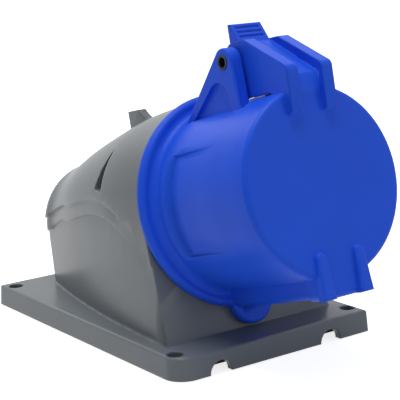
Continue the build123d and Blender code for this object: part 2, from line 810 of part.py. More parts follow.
# Lid: disc and lug, arm, tab and grips, then the hollows
lid_arm = arm()
lid_tab = tab()
lid_grips = grips()
face_shape = lid_outline()
with BuildPart() as lid:
    with BuildSketch(across(lid_back)):
        add(face_shape)
    extrude(amount=LID_DEPTH)
    fillet(lid.faces().sort_by(axis)[-1].edges(), LID_EDGE)
    add(lid_grips)
    add(lid_arm)
    add(lid_tab)
    with BuildSketch(across(0)):
        Circle(SLEEVE_RADIUS + ARM_GAP)
    extrude(amount=lid_back, mode=Mode.SUBTRACT)
    with BuildSketch(across(lid_back)):
        Circle(LID_RADIUS - LID_RIM)
    extrude(amount=LID_DEPTH - LID_PLATE, mode=Mode.SUBTRACT)
    with BuildSketch(flank(0)):
        with Locations((pin_s, pin_v)):
            Circle(KNUCKLE_RADIUS - HOLLOW_SKIN)
        Polygon(
            (pin_s - KNUCKLE_RADIUS + HOLLOW_SKIN, pin_v),
            (pin_s + HOLLOW_LENGTH, pin_v),
            (pin_s + HOLLOW_LENGTH, SLEEVE_RADIUS),
            (pin_s - KNUCKLE_RADIUS + HOLLOW_SKIN, SLEEVE_RADIUS),
            align=None,
        )
    extrude(amount=HOLLOW_HALF_WIDTH, both=True, mode=Mode.SUBTRACT)
    with BuildSketch(flank(coil_half - SPRING_WIRE)):
        with Locations((pin_s - KNUCKLE_RADIUS, pin_v - KNUCKLE_RADIUS + HOLLOW_SKIN)):
            Rectangle(2 * KNUCKLE_RADIUS - 3, 2 * KNUCKLE_RADIUS)
    extrude(amount=coil_half - SPRING_WIRE - HOLLOW_HALF_WIDTH, mode=Mode.SUBTRACT)
    with BuildSketch(flank(0)):
        with Locations((pin_s, pin_v)):
            Circle(PIN_RADIUS + PIN_PLAY)
    extrude(amount=2 * ARM_HALF_WIDTH, both=True, mode=Mode.SUBTRACT)
finish(lid, "lid")

# Seals
lid_gasket = tube(
    face - LID_PLATE - LID_GASKET,
    LID_GASKET,
    LID_RADIUS - LID_RIM - LID_LIP_CLEARANCE,
    LID_RADIUS - LID_RIM - LID_LIP_CLEARANCE - LID_GASKET_WIDTH,
)
finish(lid_gasket, "lid_gasket")

with BuildPart() as collar_gasket:
    with BuildSketch(across(0)):
        Circle(SEAT_RADIUS - PLATE_EDGE / 2)
        Circle(SPIGOT_RADIUS + SPIGOT_CLEARANCE, mode=Mode.SUBTRACT)
    extrude(amount=COLLAR_GASKET)
    add(holes(collar_screw_planes, COLLAR_SCREW[0] + SCREW_PLAY, 3 * WALL), mode=Mode.SUBTRACT)
finish(collar_gasket, "collar_gasket")

with BuildPart() as mount_gasket:
    add(core(-MOUNT_GASKET_WIDTH, PLATE_HEIGHT - PLATE_SKIN))
    add(pocket.part, mode=Mode.INTERSECT)
finish(mount_gasket, "mount_gasket")

# Insert: carrier with a seat for its seal, and the plate that traps the contacts
contacts = {
    "line": (30, LIVE_PIN_RADIUS),
    "neutral": (150, LIVE_PIN_RADIUS),
    "earth": (270, EARTH_PIN_RADIUS),
}
flange_radius = SPIGOT_BORE - INSERT_PLAY
contact_front = carrier_front - CONTACT_SETBACK
flange_front = carrier_back_s + FLANGE_THICKNESS
with BuildPart() as contact_carrier:
    with BuildSketch(across(carrier_back_s)):
        Circle(flange_radius)
    extrude(amount=CARRIER_FLANGE)
    with BuildSketch(across(web_back)):
        Circle(CARRIER_RADIUS)
    extrude(amount=carrier_front - web_back)
    chamfer(contact_carrier.faces().sort_by(axis)[-1].edges(), CARRIER_EDGE)
    with BuildSketch(across(web_back)):
        Circle(flange_radius + 1)
        Circle(flange_radius - SEAL_WIDTH, mode=Mode.SUBTRACT)
    extrude(amount=-SEAL_THICKNESS, mode=Mode.SUBTRACT)
    for angle, pin in contacts.values():
        outer = pin + TUBE_WALL + CONTACT_PLAY
        for start, length, radius in (
            (carrier_back_s, FLANGE_THICKNESS, outer + CONTACT_FLANGE),
            (flange_front, contact_front - flange_front, outer),
            (contact_front, CONTACT_SETBACK, pin + PIN_ENTRY_PLAY),
        ):
            with BuildSketch(spot(start, CONTACT_PITCH_RADIUS, angle)):
                Circle(radius)
            extrude(amount=length, mode=Mode.SUBTRACT)
    carrier_clear = holes(carrier_screw_planes, CARRIER_SCREW[0] + SCREW_PLAY, CARRIER_FLANGE)
    add(carrier_clear, mode=Mode.SUBTRACT)
    add(holes(back_screw_planes, BACK_SCREW[0], back_screw_length), mode=Mode.SUBTRACT)
finish(contact_carrier, "contact_carrier")

carrier_seal = tube(web_back - SEAL_THICKNESS, SEAL_THICKNESS, flange_radius, flange_radius - SEAL_WIDTH)
finish(carrier_seal, "carrier_seal")

with BuildPart() as carrier_back:
    with BuildSketch(across(plate_back_s)):
        Circle(BACK_PLATE_RADIUS)
    extrude(amount=BACK_PLATE)
    for angle, pin in contacts.values():
        with BuildSketch(spot(plate_back_s, CONTACT_PITCH_RADIUS, angle)):
            Circle(BARREL_RADIUS + CONTACT_PLAY)
        extrude(amount=BACK_PLATE, mode=Mode.SUBTRACT)
    add(holes(back_screw_planes, BACK_SCREW[0] + SCREW_PLAY, BACK_PLATE), mode=Mode.SUBTRACT)
finish(carrier_back, "carrier_back")


def contact(angle, pin):
    """A socket contact: slotted tube, flange and terminal barrel, turned as one."""
    outer = pin + TUBE_WALL
    terminal = spot(carrier_back_s - BARREL_LENGTH * 0.7, CONTACT_PITCH_RADIUS, angle)
    with BuildPart() as turned:
        for start, length, radius in (
            (carrier_back_s - BARREL_LENGTH, BARREL_LENGTH, BARREL_RADIUS),
            (carrier_back_s, FLANGE_THICKNESS, outer + CONTACT_FLANGE),
            (flange_front, contact_front - flange_front, outer),
        ):
            with BuildSketch(spot(start, CONTACT_PITCH_RADIUS, angle)):
                Circle(radius)
            extrude(amount=length)
        with BuildSketch(spot(contact_front, CONTACT_PITCH_RADIUS, angle)):
            Circle(pin)
        extrude(amount=-SOCKET_DEPTH, mode=Mode.SUBTRACT)
        with BuildSketch(spot(contact_front, CONTACT_PITCH_RADIUS, angle)):
            Rectangle(3 * outer, SLOT_CUT)
            Rectangle(SLOT_CUT, 3 * outer)
        extrude(amount=-SLOT_REACH, mode=Mode.SUBTRACT)
        with BuildSketch(spot(contact_front - CLIP_SETBACK, CONTACT_PITCH_RADIUS, angle)):
            Circle(outer + 1)
            Circle(outer - CLIP_THICKNESS, mode=Mode.SUBTRACT)
        extrude(amount=-CLIP_WIDTH, mode=Mode.SUBTRACT)
        with BuildSketch(spot(carrier_back_s - BARREL_LENGTH, CONTACT_PITCH_RADIUS, angle)):
            Circle(WIRE_BORE)
        extrude(amount=WIRE_DEPTH, mode=Mode.SUBTRACT)
        with BuildSketch(Plane(origin=terminal.origin, x_dir=forward, z_dir=terminal.x_dir)):
            Circle(TERMINAL_SCREW[0])
        extrude(amount=2 * BARREL_RADIUS, mode=Mode.SUBTRACT)
    return turned


def clip(angle, pin):
    """The open steel ring that squeezes a socket contact's fingers."""
    outer = pin + TUBE_WALL
    with BuildPart() as ring:
        with BuildSketch(spot(contact_front - CLIP_SETBACK, CONTACT_PITCH_RADIUS, angle)):
            Circle(outer)
            Circle(outer - CLIP_THICKNESS, mode=Mode.SUBTRACT)
            with Locations((outer, 0)):
                Rectangle(2 * outer - CLIP_GAP, CLIP_GAP, mode=Mode.SUBTRACT)
        extrude(amount=-CLIP_WIDTH)
    return ring


for name, (angle, pin) in contacts.items():
    finish(contact(angle, pin), f"contact_{name}")
    finish(clip(angle, pin), f"clip_{name}")

# Screws
terminal_planes = []
for angle, pin in contacts.values():
    place = spot(carrier_back_s - BARREL_LENGTH * 0.7, CONTACT_PITCH_RADIUS + TERMINAL_SCREW_REACH, angle)
    terminal_planes.append(Plane(origin=place.origin, x_dir=forward, z_dir=place.x_dir * -1))
finish(screws(terminal_planes, TERMINAL_SCREW, TERMINAL_SCREW_LENGTH), "terminal_screws")
finish(screws(collar_screw_planes, COLLAR_SCREW, collar_screw_length), "collar_screws")
finish(screws(carrier_screw_planes, CARRIER_SCREW, carrier_screw_length), "carrier_screws")
finish(screws(back_screw_planes, BACK_SCREW, back_screw_length), "carrier_back_screws")
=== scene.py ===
"""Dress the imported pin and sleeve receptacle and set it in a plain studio."""

from __future__ import annotations

import json
import logging
import math
from dataclasses import dataclass, field
from enum import Enum

import bmesh
import bpy
from mathutils import Matrix, Vector

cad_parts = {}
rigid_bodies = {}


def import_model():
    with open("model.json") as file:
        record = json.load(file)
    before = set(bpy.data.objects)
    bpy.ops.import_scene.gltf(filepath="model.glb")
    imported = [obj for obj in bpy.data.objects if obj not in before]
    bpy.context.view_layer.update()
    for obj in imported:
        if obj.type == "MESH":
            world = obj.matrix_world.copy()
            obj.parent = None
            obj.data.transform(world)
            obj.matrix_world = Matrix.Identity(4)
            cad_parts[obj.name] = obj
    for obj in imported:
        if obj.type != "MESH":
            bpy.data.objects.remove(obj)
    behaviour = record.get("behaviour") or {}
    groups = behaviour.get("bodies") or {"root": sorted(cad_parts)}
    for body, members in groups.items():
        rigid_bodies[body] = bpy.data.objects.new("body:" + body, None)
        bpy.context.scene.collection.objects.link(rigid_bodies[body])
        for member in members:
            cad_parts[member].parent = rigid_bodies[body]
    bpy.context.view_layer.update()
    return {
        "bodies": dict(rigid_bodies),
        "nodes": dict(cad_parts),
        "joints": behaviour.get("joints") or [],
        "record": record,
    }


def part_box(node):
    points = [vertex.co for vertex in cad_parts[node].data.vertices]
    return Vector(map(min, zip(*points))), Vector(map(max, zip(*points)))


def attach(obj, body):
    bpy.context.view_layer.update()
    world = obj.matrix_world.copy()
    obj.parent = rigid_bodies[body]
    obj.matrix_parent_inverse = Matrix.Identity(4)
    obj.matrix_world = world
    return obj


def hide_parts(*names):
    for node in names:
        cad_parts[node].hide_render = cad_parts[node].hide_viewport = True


log = logging.getLogger("receptacle")

MM = 0.001
LEAN = math.radians(14.5)
FORWARD = Vector((0, -math.cos(LEAN), math.sin(LEAN)))
UPWARD = Vector((0, math.sin(LEAN), math.cos(LEAN)))
ACROSS = Vector((1, 0, 0))
SEAT = Vector((0, -42.3, 57.8)) * MM
MOUTH = 53.5 * MM
WELD = 0.002 * MM
FINE_WELD = 0.001 * MM
NEVER_FLAT = math.radians(0.0001)

Colour = tuple[float, float, float]
Frame = dict[str, object]


def srgb(red: int, green: int, blue: int) -> Colour:
    """Turn a screen colour of 0 to 255 into the linear colour that a shader takes.

    Args:
        red: Red from 0 to 255.
        green: Green from 0 to 255.
        blue: Blue from 0 to 255.

    Returns:
        The three linear values.
    """
    values = []
    for channel in (red, green, blue):
        c = channel / 255
        values.append(c / 12.92 if c <= 0.04045 else ((c + 0.055) / 1.055) ** 2.4)
    return (values[0], values[1], values[2])


class Body(Enum):
    """The two bodies of the part that pieces ride on."""

    BASE = "base"
    LID = "lid"


class Drive(Enum):
    """The recess in a screw's head."""

    SLOT = 1
    CROSS = 2


class Nodes:
    """A short way to add and wire the nodes of one material."""

    def __init__(self, name: str) -> None:
        """Make an empty node material.

        Args:
            name: The material's name.
        """
        self.material = bpy.data.materials.new(name)
        self.material.use_nodes = True
        self.tree = self.material.node_tree
        self.tree.nodes.clear()

    def add(self, kind: str, **settings: object) -> bpy.types.Node:
        """Add a node and set its properties.

        Args:
            kind: The node's type name.
            **settings: Properties to set on the node.

        Returns:
            The new node.
        """
        node = self.tree.nodes.new(kind)
        for key, value in settings.items():
            setattr(node, key, value)
        return node

    def link(self, source: bpy.types.NodeSocket, target: bpy.types.NodeSocket) -> None:
        """Join two sockets.

        Args:
            source: Where the value comes from.
            target: Where it goes.
        """
        self.tree.links.new(source, target)

    def noise(self, scale: float, detail: float, rough: float = 0.55) -> bpy.types.NodeSocket:
        """Add noise on Object coordinates.

        Args:
            scale: Features for each metre.
            detail: Octaves.
            rough: How strong the finer octaves are.

        Returns:
            The noise's factor socket.
        """
        place = self.add("ShaderNodeTexCoord")
        noise = self.add("ShaderNodeTexNoise")
        noise.inputs["Scale"].default_value = scale
        noise.inputs["Detail"].default_value = detail
        noise.inputs["Roughness"].default_value = rough
        self.link(place.outputs["Object"], noise.inputs["Vector"])
        return noise.outputs["Fac"]

    def span(self, source: bpy.types.NodeSocket, low: float, high: float) -> bpy.types.NodeSocket:
        """Spread a factor over a range.

        Args:
            source: A factor of 0 to 1.
            low: The value at 0.3.
            high: The value at 0.7.

        Returns:
            The spread value.
        """
        spread = self.add("ShaderNodeMapRange")
        spread.inputs["From Min"].default_value = 0.3
        spread.inputs["From Max"].default_value = 0.7
        spread.inputs["To Min"].default_value = low
        spread.inputs["To Max"].default_value = high
        self.link(source, spread.inputs["Value"])
        return spread.outputs["Result"]

    def tinted(self, colour: Colour, change: float, scale: float) -> bpy.types.NodeSocket:
        """Let a colour drift a little over the surface.

        Args:
            colour: The middle colour.
            change: How far it drifts each way, as a share.
            scale: Patches for each metre.

        Returns:
            The colour socket.
        """
        mix = self.add("ShaderNodeMix", data_type="RGBA")
        mix.inputs[6].default_value = (*(c * (1 - change) for c in colour), 1)
        mix.inputs[7].default_value = (*(c * (1 + change) for c in colour), 1)
        self.link(self.span(self.noise(scale, 3), 0.0, 1.0), mix.inputs[0])
        return mix.outputs[2]

    def bump(
        self,
        height: bpy.types.NodeSocket,
        strength: float,
        depth: float,
        edges: bpy.types.NodeSocket,
    ) -> bpy.types.NodeSocket:
        """Turn a height into a bumped normal on softened edges.

        Args:
            height: The height's factor.
            strength: From 0 to 1.
            depth: The real depth in metres.
            edges: The normal to bump.

        Returns:
            The normal socket.
        """
        node = self.add("ShaderNodeBump")
        node.inputs["Strength"].default_value = strength
        node.inputs["Distance"].default_value = depth
        self.link(height, node.inputs["Height"])
        self.link(edges, node.inputs["Normal"])
        return node.outputs["Normal"]

    def softened(self, radius: float) -> bpy.types.NodeSocket:
        """Round every edge in the shading.

        Args:
            radius: The rounding in metres.

        Returns:
            The softened normal socket.
        """
        edges = self.add("ShaderNodeBevel", samples=8)
        edges.inputs["Radius"].default_value = radius
        return edges.outputs["Normal"]

    def softened_off(self, radius: float, station: float, clear: float) -> bpy.types.NodeSocket:
        """Round every edge in the shading but those at one station of the connector's axis.

        Args:
            radius: The rounding in metres.
            station: The station whose edges stay as they are.
            clear: How far from it the rounding starts.

        Returns:
            The softened normal socket.
        """
        place = self.add("ShaderNodeTexCoord")
        along = self.add("ShaderNodeVectorMath", operation="DOT_PRODUCT")
        along.inputs[1].default_value = FORWARD
        off = self.add("ShaderNodeMath", operation="SUBTRACT")
        off.inputs[1].default_value = SEAT.dot(FORWARD) + station
        far = self.add("ShaderNodeMath", operation="ABSOLUTE")
        away = self.add("ShaderNodeMath", operation="GREATER_THAN")
        away.inputs[1].default_value = clear
        rounding = self.add("ShaderNodeMath", operation="MULTIPLY")
        rounding.inputs[1].default_value = radius
        edges = self.add("ShaderNodeBevel", samples=8)
        self.link(place.outputs["Object"], along.inputs[0])
        self.link(along.outputs["Value"], off.inputs[0])
        self.link(off.outputs[0], far.inputs[0])
        self.link(far.outputs[0], away.inputs[0])
        self.link(away.outputs[0], rounding.inputs[0])
        self.link(rounding.outputs[0], edges.inputs["Radius"])
        return edges.outputs["Normal"]

    def surface(self) -> bpy.types.Node:
        """Add a Principled shader and wire it to the output.

        Returns:
            The shader.
        """
        shader = self.add("ShaderNodeBsdfPrincipled")
        output = self.add("ShaderNodeOutputMaterial")
        self.link(shader.outputs["BSDF"], output.inputs["Surface"])
        return shader

    def seen(self) -> bpy.types.NodeSocket:
        """Tell rays that show the background from rays that light the object.

        Returns:
            A socket that is 1 for camera, glossy and transmission rays.
        """
        path = self.add("ShaderNodeLightPath")
        both = self.add("ShaderNodeMath", operation="MAXIMUM")
        every = self.add("ShaderNodeMath", operation="MAXIMUM")
        self.link(path.outputs["Is Camera Ray"], both.inputs[0])
        self.link(path.outputs["Is Glossy Ray"], both.inputs[1])
        self.link(both.outputs[0], every.inputs[0])
        self.link(path.outputs["Is Transmission Ray"], every.inputs[1])
        return every.outputs[0]


@dataclass(frozen=True)
class MouldedPlastic:
    """A satin moulded plastic with the fine grain of an eroded mould."""

    name: str
    colour: Colour
    roughness: float = 0.42
    soften: float = 1.0 * MM
    joined: bool = False
    join_clear: float = 1.3 * MM
    grain_depth: float = 0.03 * MM
    grain_scale: float = 1500.0
    drift: float = 0.03
    drift_scale: float = 60.0
    uneven: float = 0.01
    patch_scale: float = 40.0
    gloss: float = 0.15
    refraction: float = 1.48

    def build(self) -> bpy.types.Material:
        """Make the material.

        Returns:
            The material.
        """
        nodes = Nodes(self.name)
        shader = nodes.surface()
        tint = nodes.tinted(self.colour, self.drift, self.drift_scale)
        nodes.link(tint, shader.inputs["Base Color"])
        patches = nodes.noise(self.patch_scale, 2)
        patchy = nodes.span(patches, self.roughness - self.uneven, self.roughness + self.uneven)
        nodes.link(patchy, shader.inputs["Roughness"])
        if self.joined:
            edges = nodes.softened_off(self.soften, MOUTH, self.join_clear)
        else:
            edges = nodes.softened(self.soften)
        grain = nodes.bump(nodes.noise(self.grain_scale, 3), 0.25, self.grain_depth, edges)
        nodes.link(grain, shader.inputs["Normal"])
        shader.inputs["IOR"].default_value = self.refraction
        shader.inputs["Specular IOR Level"].default_value = self.gloss
        return nodes.material


@dataclass(frozen=True)
class Metal:
    """A drawn, turned or plated metal with fine machining marks."""

    name: str
    colour: Colour
    roughness: float = 0.3
    brighter: float = 0.06
    duller: float = 0.08
    patch_scale: float = 900.0
    drift: float = 0.06
    drift_scale: float = 400.0
    mark_depth: float = 0.02 * MM
    mark_scale: float = 5000.0
    soften: float = 0.15 * MM

    def build(self) -> bpy.types.Material:
        """Make the material.

        Returns:
            The material.
        """
        nodes = Nodes(self.name)
        shader = nodes.surface()
        tint = nodes.tinted(self.colour, self.drift, self.drift_scale)
        nodes.link(tint, shader.inputs["Base Color"])
        shader.inputs["Metallic"].default_value = 1.0
        patches = nodes.noise(self.patch_scale, 3)
        patchy = nodes.span(patches, self.roughness - self.brighter, self.roughness + self.duller)
        nodes.link(patchy, shader.inputs["Roughness"])
        edges = nodes.softened(self.soften)
        marks = nodes.bump(nodes.noise(self.mark_scale, 2), 0.3, self.mark_depth, edges)
        nodes.link(marks, shader.inputs["Normal"])
        return nodes.material


@dataclass(frozen=True)
class Rubber:
    """A matte black rubber."""

    name: str
    colour: Colour
    roughness: float = 0.75
    uneven: float = 0.07
    patch_scale: float = 700.0
    drift: float = 0.1
    drift_scale: float = 300.0
    pore_depth: float = 0.03 * MM
    pore_scale: float = 2500.0
    soften: float = 0.4 * MM

    def build(self) -> bpy.types.Material:
        """Make the material.

        Returns:
            The material.
        """
        nodes = Nodes(self.name)
        shader = nodes.surface()
        tint = nodes.tinted(self.colour, self.drift, self.drift_scale)
        nodes.link(tint, shader.inputs["Base Color"])
        patches = nodes.noise(self.patch_scale, 3)
        patchy = nodes.span(patches, self.roughness - self.uneven, self.roughness + self.uneven)
        nodes.link(patchy, shader.inputs["Roughness"])
        edges = nodes.softened(self.soften)
        pores = nodes.bump(nodes.noise(self.pore_scale, 3), 0.4, self.pore_depth, edges)
        nodes.link(pores, shader.inputs["Normal"])
        return nodes.material


@dataclass
class Finishes:
    """Every finish of the receptacle, each made into a material once."""

    housing: MouldedPlastic = MouldedPlastic(
        "grey_moulding", srgb(105, 111, 116), 0.3, 1.2 * MM, grain_depth=0.012 * MM, gloss=0.25
    )
    blue: MouldedPlastic = MouldedPlastic("blue_moulding", srgb(30, 84, 222), 0.4, joined=True)
    sleeve: MouldedPlastic = MouldedPlastic(
        "sleeve_moulding", srgb(30, 84, 222), 0.4, 0.4 * MM, joined=True
    )
    insert: MouldedPlastic = MouldedPlastic("dark_insert", srgb(58, 60, 62), 0.5, 0.5 * MM)
    steel: Metal = Metal("drawn_steel", srgb(176, 178, 180), 0.32)
    dark_steel: Metal = Metal("blackened_steel", srgb(52, 52, 55), 0.4)
    zinc: Metal = Metal("zinc_plate", srgb(190, 192, 190), 0.36)
    brass: Metal = Metal("turned_brass", srgb(205, 170, 96), 0.28)
    rubber: Rubber = Rubber("black_rubber", srgb(38, 38, 39))
    made: dict[str, bpy.types.Material] = field(default_factory=dict)

    def get(self, finish: MouldedPlastic | Metal | Rubber) -> bpy.types.Material:
        """Give a finish's material, made at its first use.

        Args:
            finish: One of the finishes.

        Returns:
            Its material.
        """
        if finish.name not in self.made:
            self.made[finish.name] = finish.build()
        return self.made[finish.name]


def dress(piece: bpy.types.Object, material: bpy.types.Material) -> None:
    """Give a piece or a CAD node its material.

    Args:
        piece: The object.
        material: What it wears.
    """
    if not piece.data.materials:
        piece.data.materials.append(material)
    for index in range(len(piece.data.materials)):
        piece.data.materials[index] = material


def new_piece(name: str, mesh: bpy.types.Mesh) -> bpy.types.Object:
    """Put a mesh in the scene as an object at the origin.

    Args:
        name: The object's name.
        mesh: Its mesh.

    Returns:
        The object.
    """
    piece = bpy.data.objects.new(name, mesh)
    bpy.context.scene.collection.objects.link(piece)
    return piece


def settle(piece: bpy.types.Object, sharp: float) -> None:
    """Turn a piece's modifiers into plain mesh and shade it smooth.

    Args:
        piece: The piece, whose mesh is exchanged.
        sharp: The angle past which an edge stays sharp.
    """
    graph = bpy.context.evaluated_depsgraph_get()
    mesh = bpy.data.meshes.new_from_object(piece.evaluated_get(graph))
    piece.modifiers.clear()
    piece.data = mesh
    mesh.polygons.foreach_set("use_smooth", [True] * len(mesh.polygons))
    mesh.set_sharp_from_angle(angle=sharp)


def stand_in(piece: bpy.types.Object, node: str, body: Body) -> None:
    """Let a finished piece stand for a CAD node.

    Args:
        piece: The finished piece.
        node: The node it replaces.
        body: The body it rides on.
    """
    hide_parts(node)
    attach(piece, body.value)
    log.info("made %s with %d faces", piece.name, len(piece.data.polygons))


def lathe(
    profile: list[tuple[float, float]], sides: int, place: Vector, aim: Vector
) -> bmesh.types.BMesh:
    """Turn a profile round an axis.

    Args:
        profile: Pairs of radius and station in metres, in order along the outline.
        sides: Faces round the axis.
        place: The point of station 0.
        aim: The axis.

    Returns:
        The turned form, merged and facing outwards.
    """
    work = bmesh.new()
    turn = aim.to_track_quat("Z", "Y").to_matrix()
    rings = []
    for radius, station in profile:
        ring = []
        for index in range(sides):
            angle = 2 * math.pi * index / sides
            local = Vector((radius * math.cos(angle), radius * math.sin(angle), station))
            ring.append(work.verts.new(place + turn @ local))
        rings.append(ring)
    for low, high in zip(rings, rings[1:]):
        for index in range(sides):
            after = (index + 1) % sides
            work.faces.new((low[index], low[after], high[after], high[index]))
    bmesh.ops.remove_doubles(work, verts=work.verts, dist=FINE_WELD)
    bmesh.ops.dissolve_degenerate(work, dist=FINE_WELD, edges=work.edges)
    bmesh.ops.recalc_face_normals(work, faces=work.faces)
    return work


def islands(node: bpy.types.Object) -> list[list[Vector]]:
    """Split a CAD node into its separate solids.

    Args:
        node: The node's object.

    Returns:
        The corner points of each solid.
    """
    work = bmesh.new()
    work.from_mesh(node.data)
    bmesh.ops.remove_doubles(work, verts=work.verts, dist=WELD)
    left = set(work.verts)
    groups = []
    while left:
        group = []
        front = [left.pop()]
        while front:
            vert = front.pop()
            group.append(vert.co.copy())
            for edge in vert.link_edges:
                other = edge.other_vert(vert)
                if other in left:
                    left.remove(other)
                    front.append(other)
        groups.append(group)
    work.free()
    return groups


class GeometryTree:
    """A Geometry Nodes tree with named inputs, put on one piece."""

    def __init__(self, name: str) -> None:
        """Start a tree with a geometry input and output.

        Args:
            name: The tree's name.
        """
        self.tree = bpy.data.node_groups.new(name, "GeometryNodeTree")
        for way in ("INPUT", "OUTPUT"):
            self.tree.interface.new_socket(
                "Geometry", in_out=way, socket_type="NodeSocketGeometry"
            )
        self.inputs: dict[str, str] = {}
        self.given: dict[str, object] = {}
        self.source = self.tree.nodes.new("NodeGroupInput")
        self.result = self.tree.nodes.new("NodeGroupOutput")

    def declare(self, name: str, kind: str, value: object) -> bpy.types.NodeSocket:
        """Add a named input with its value.

        Args:
            name: The input's name.
            kind: Its socket type.
            value: What the modifier gives it.

        Returns:
            The input's socket inside the tree.
        """
        socket = self.tree.interface.new_socket(name, in_out="INPUT", socket_type=kind)
        self.inputs[name] = socket.identifier
        self.given[name] = value
        return self.source.outputs[name]

    def add(self, kind: str, **settings: object) -> bpy.types.Node:
        """Add a node and set its properties.

        Args:
            kind: The node's type name.
            **settings: Properties to set on the node.

        Returns:
            The new node.
        """
        node = self.tree.nodes.new(kind)
        for key, value in settings.items():
            setattr(node, key, value)
        return node

    def link(self, source: bpy.types.NodeSocket, target: bpy.types.NodeSocket) -> None:
        """Join two sockets.

        Args:
            source: Where the value comes from.
            target: Where it goes.
        """
        self.tree.links.new(source, target)

    def finish(self, last: bpy.types.NodeSocket, material: bpy.types.Material) -> None:
        """End the tree in plain geometry that wears its material.

        Args:
            last: The geometry so far.
            material: What it wears.
        """
        finish = self.declare("Finish", "NodeSocketMaterial", material)
        plain = self.add("GeometryNodeRealizeInstances")
        wearing = self.add("GeometryNodeSetMaterial")
        self.link(last, plain.inputs["Geometry"])
        self.link(plain.outputs["Geometry"], wearing.inputs["Geometry"])
        self.link(finish, wearing.inputs["Material"])
        self.link(wearing.outputs["Geometry"], self.result.inputs["Geometry"])

    def put_on(self, piece: bpy.types.Object) -> None:
        """Put the tree on a piece and set its inputs by their identifiers.

        Args:
            piece: The piece.
        """
        modifier = piece.modifiers.new(self.tree.name, "NODES")
        modifier.node_group = self.tree
        for name, value in self.given.items():
            modifier[self.inputs[name]] = value


@dataclass
class Moulding:
    """A piece made from the merged mesh of the node it stands for, its edges soft in shading."""

    node: str
    body: Body
    sharp_angle: float = math.radians(32)
    weld: float = WELD
    sliver: float = 0.01 * MM
    flat_angle: float = math.radians(0.05)
    area_weight: int = 60

    def build(self, frame: Frame, material: bpy.types.Material) -> bpy.types.Object:
        """Copy the node, merge it, shade it as one form and let it stand for the node.

        Args:
            frame: The loaded frame.
            material: What the piece wears.

        Returns:
            The finished piece.
        """
        piece = new_piece(f"{self.node}_moulding", frame["nodes"][self.node].data.copy())
        work = bmesh.new()
        work.from_mesh(piece.data)
        bmesh.ops.remove_doubles(work, verts=work.verts, dist=self.weld)
        bmesh.ops.dissolve_degenerate(work, edges=work.edges, dist=self.sliver)
        bmesh.ops.dissolve_limit(
            work, angle_limit=self.flat_angle, verts=work.verts, edges=work.edges
        )
        self.shape(work)
        work.to_mesh(piece.data)
        work.free()
        settle(piece, self.sharp_angle)
        self._weigh(piece)
        dress(piece, material)
        stand_in(piece, self.node, self.body)
        return piece

    def shape(self, work: bmesh.types.BMesh) -> None:
        """Leave the form as it is; a moulding that fits another changes this.

        Args:
            work: The merged mesh.
        """

    def _weigh(self, piece: bpy.types.Object) -> None:
        """Let the large faces keep their own direction in the shading.

        Args:
            piece: The piece.
        """
        weighted = piece.modifiers.new("shading", "WEIGHTED_NORMAL")
        weighted.mode = "FACE_AREA"
        weighted.weight = self.area_weight
        weighted.keep_sharp = True
        graph = bpy.context.evaluated_depsgraph_get()
        mesh = bpy.data.meshes.new_from_object(piece.evaluated_get(graph))
        piece.modifiers.clear()
        piece.data = mesh


@dataclass
class LidMoulding(Moulding):
    """The lid's moulding, whose back rim is drawn flush with the sleeve it shuts against."""

    joint_gap: float = 0.15 * MM
    left_gap: float = 0.015 * MM
    rim_radius: float = 35.3 * MM
    sleeve_radius: float = 35.5 * MM
    reach: float = 0.05 * MM

    def shape(self, work: bmesh.types.BMesh) -> None:
        """Bring the outer corner of the back rim up to the sleeve's mouth.

        Args:
            work: The merged mesh.
        """
        for vert in work.verts:
            station = (vert.co - SEAT).dot(FORWARD)
            out = vert.co - SEAT - FORWARD * station
            if abs(station - MOUTH - self.joint_gap) > self.reach:
                continue
            vert.co -= FORWARD * (self.joint_gap - self.left_gap)
            if abs(out.length - self.rim_radius) < self.reach:
                vert.co += out.normalized() * (self.sleeve_radius - self.rim_radius)


@dataclass
class Housing:
    """The grey inclined housing and the rubber frame under its plate."""

    shell: Moulding = field(
        default_factory=lambda: Moulding("housing", Body.BASE, flat_angle=NEVER_FLAT)
    )
    seal: Moulding = field(default_factory=lambda: Moulding("mount_gasket", Body.BASE))

    def build(self, frame: Frame, finishes: Finishes) -> None:
        """Build the housing and its rubber frame.

        Args:
            frame: The loaded frame.
            finishes: The finishes.
        """
        self.shell.build(frame, finishes.get(finishes.housing))
        self.seal.build(frame, finishes.get(finishes.rubber))


@dataclass
class Sleeve:
    """The blue sleeve with its ring, ears and keel, and the ring of rubber behind it."""

    shell: Moulding = field(default_factory=lambda: Moulding("collar", Body.BASE))
    seal: Moulding = field(default_factory=lambda: Moulding("collar_gasket", Body.BASE))

    def build(self, frame: Frame, finishes: Finishes) -> None:
        """Build the sleeve and its seal.

        Args:
            frame: The loaded frame.
            finishes: The finishes.
        """
        self.shell.build(frame, finishes.get(finishes.sleeve))
        self.seal.build(frame, finishes.get(finishes.rubber))


@dataclass
class Lid:
    """The blue lid with its arm, thumb tab and grips, and the seal inside it."""

    shell: LidMoulding = field(default_factory=lambda: LidMoulding("lid", Body.LID))
    seal: Moulding = field(default_factory=lambda: Moulding("lid_gasket", Body.LID))

    def build(self, frame: Frame, finishes: Finishes) -> None:
        """Build the lid and its seal.

        Args:
            frame: The loaded frame.
            finishes: The finishes.
        """
        self.shell.build(frame, finishes.get(finishes.blue))
        self.seal.build(frame, finishes.get(finishes.rubber))


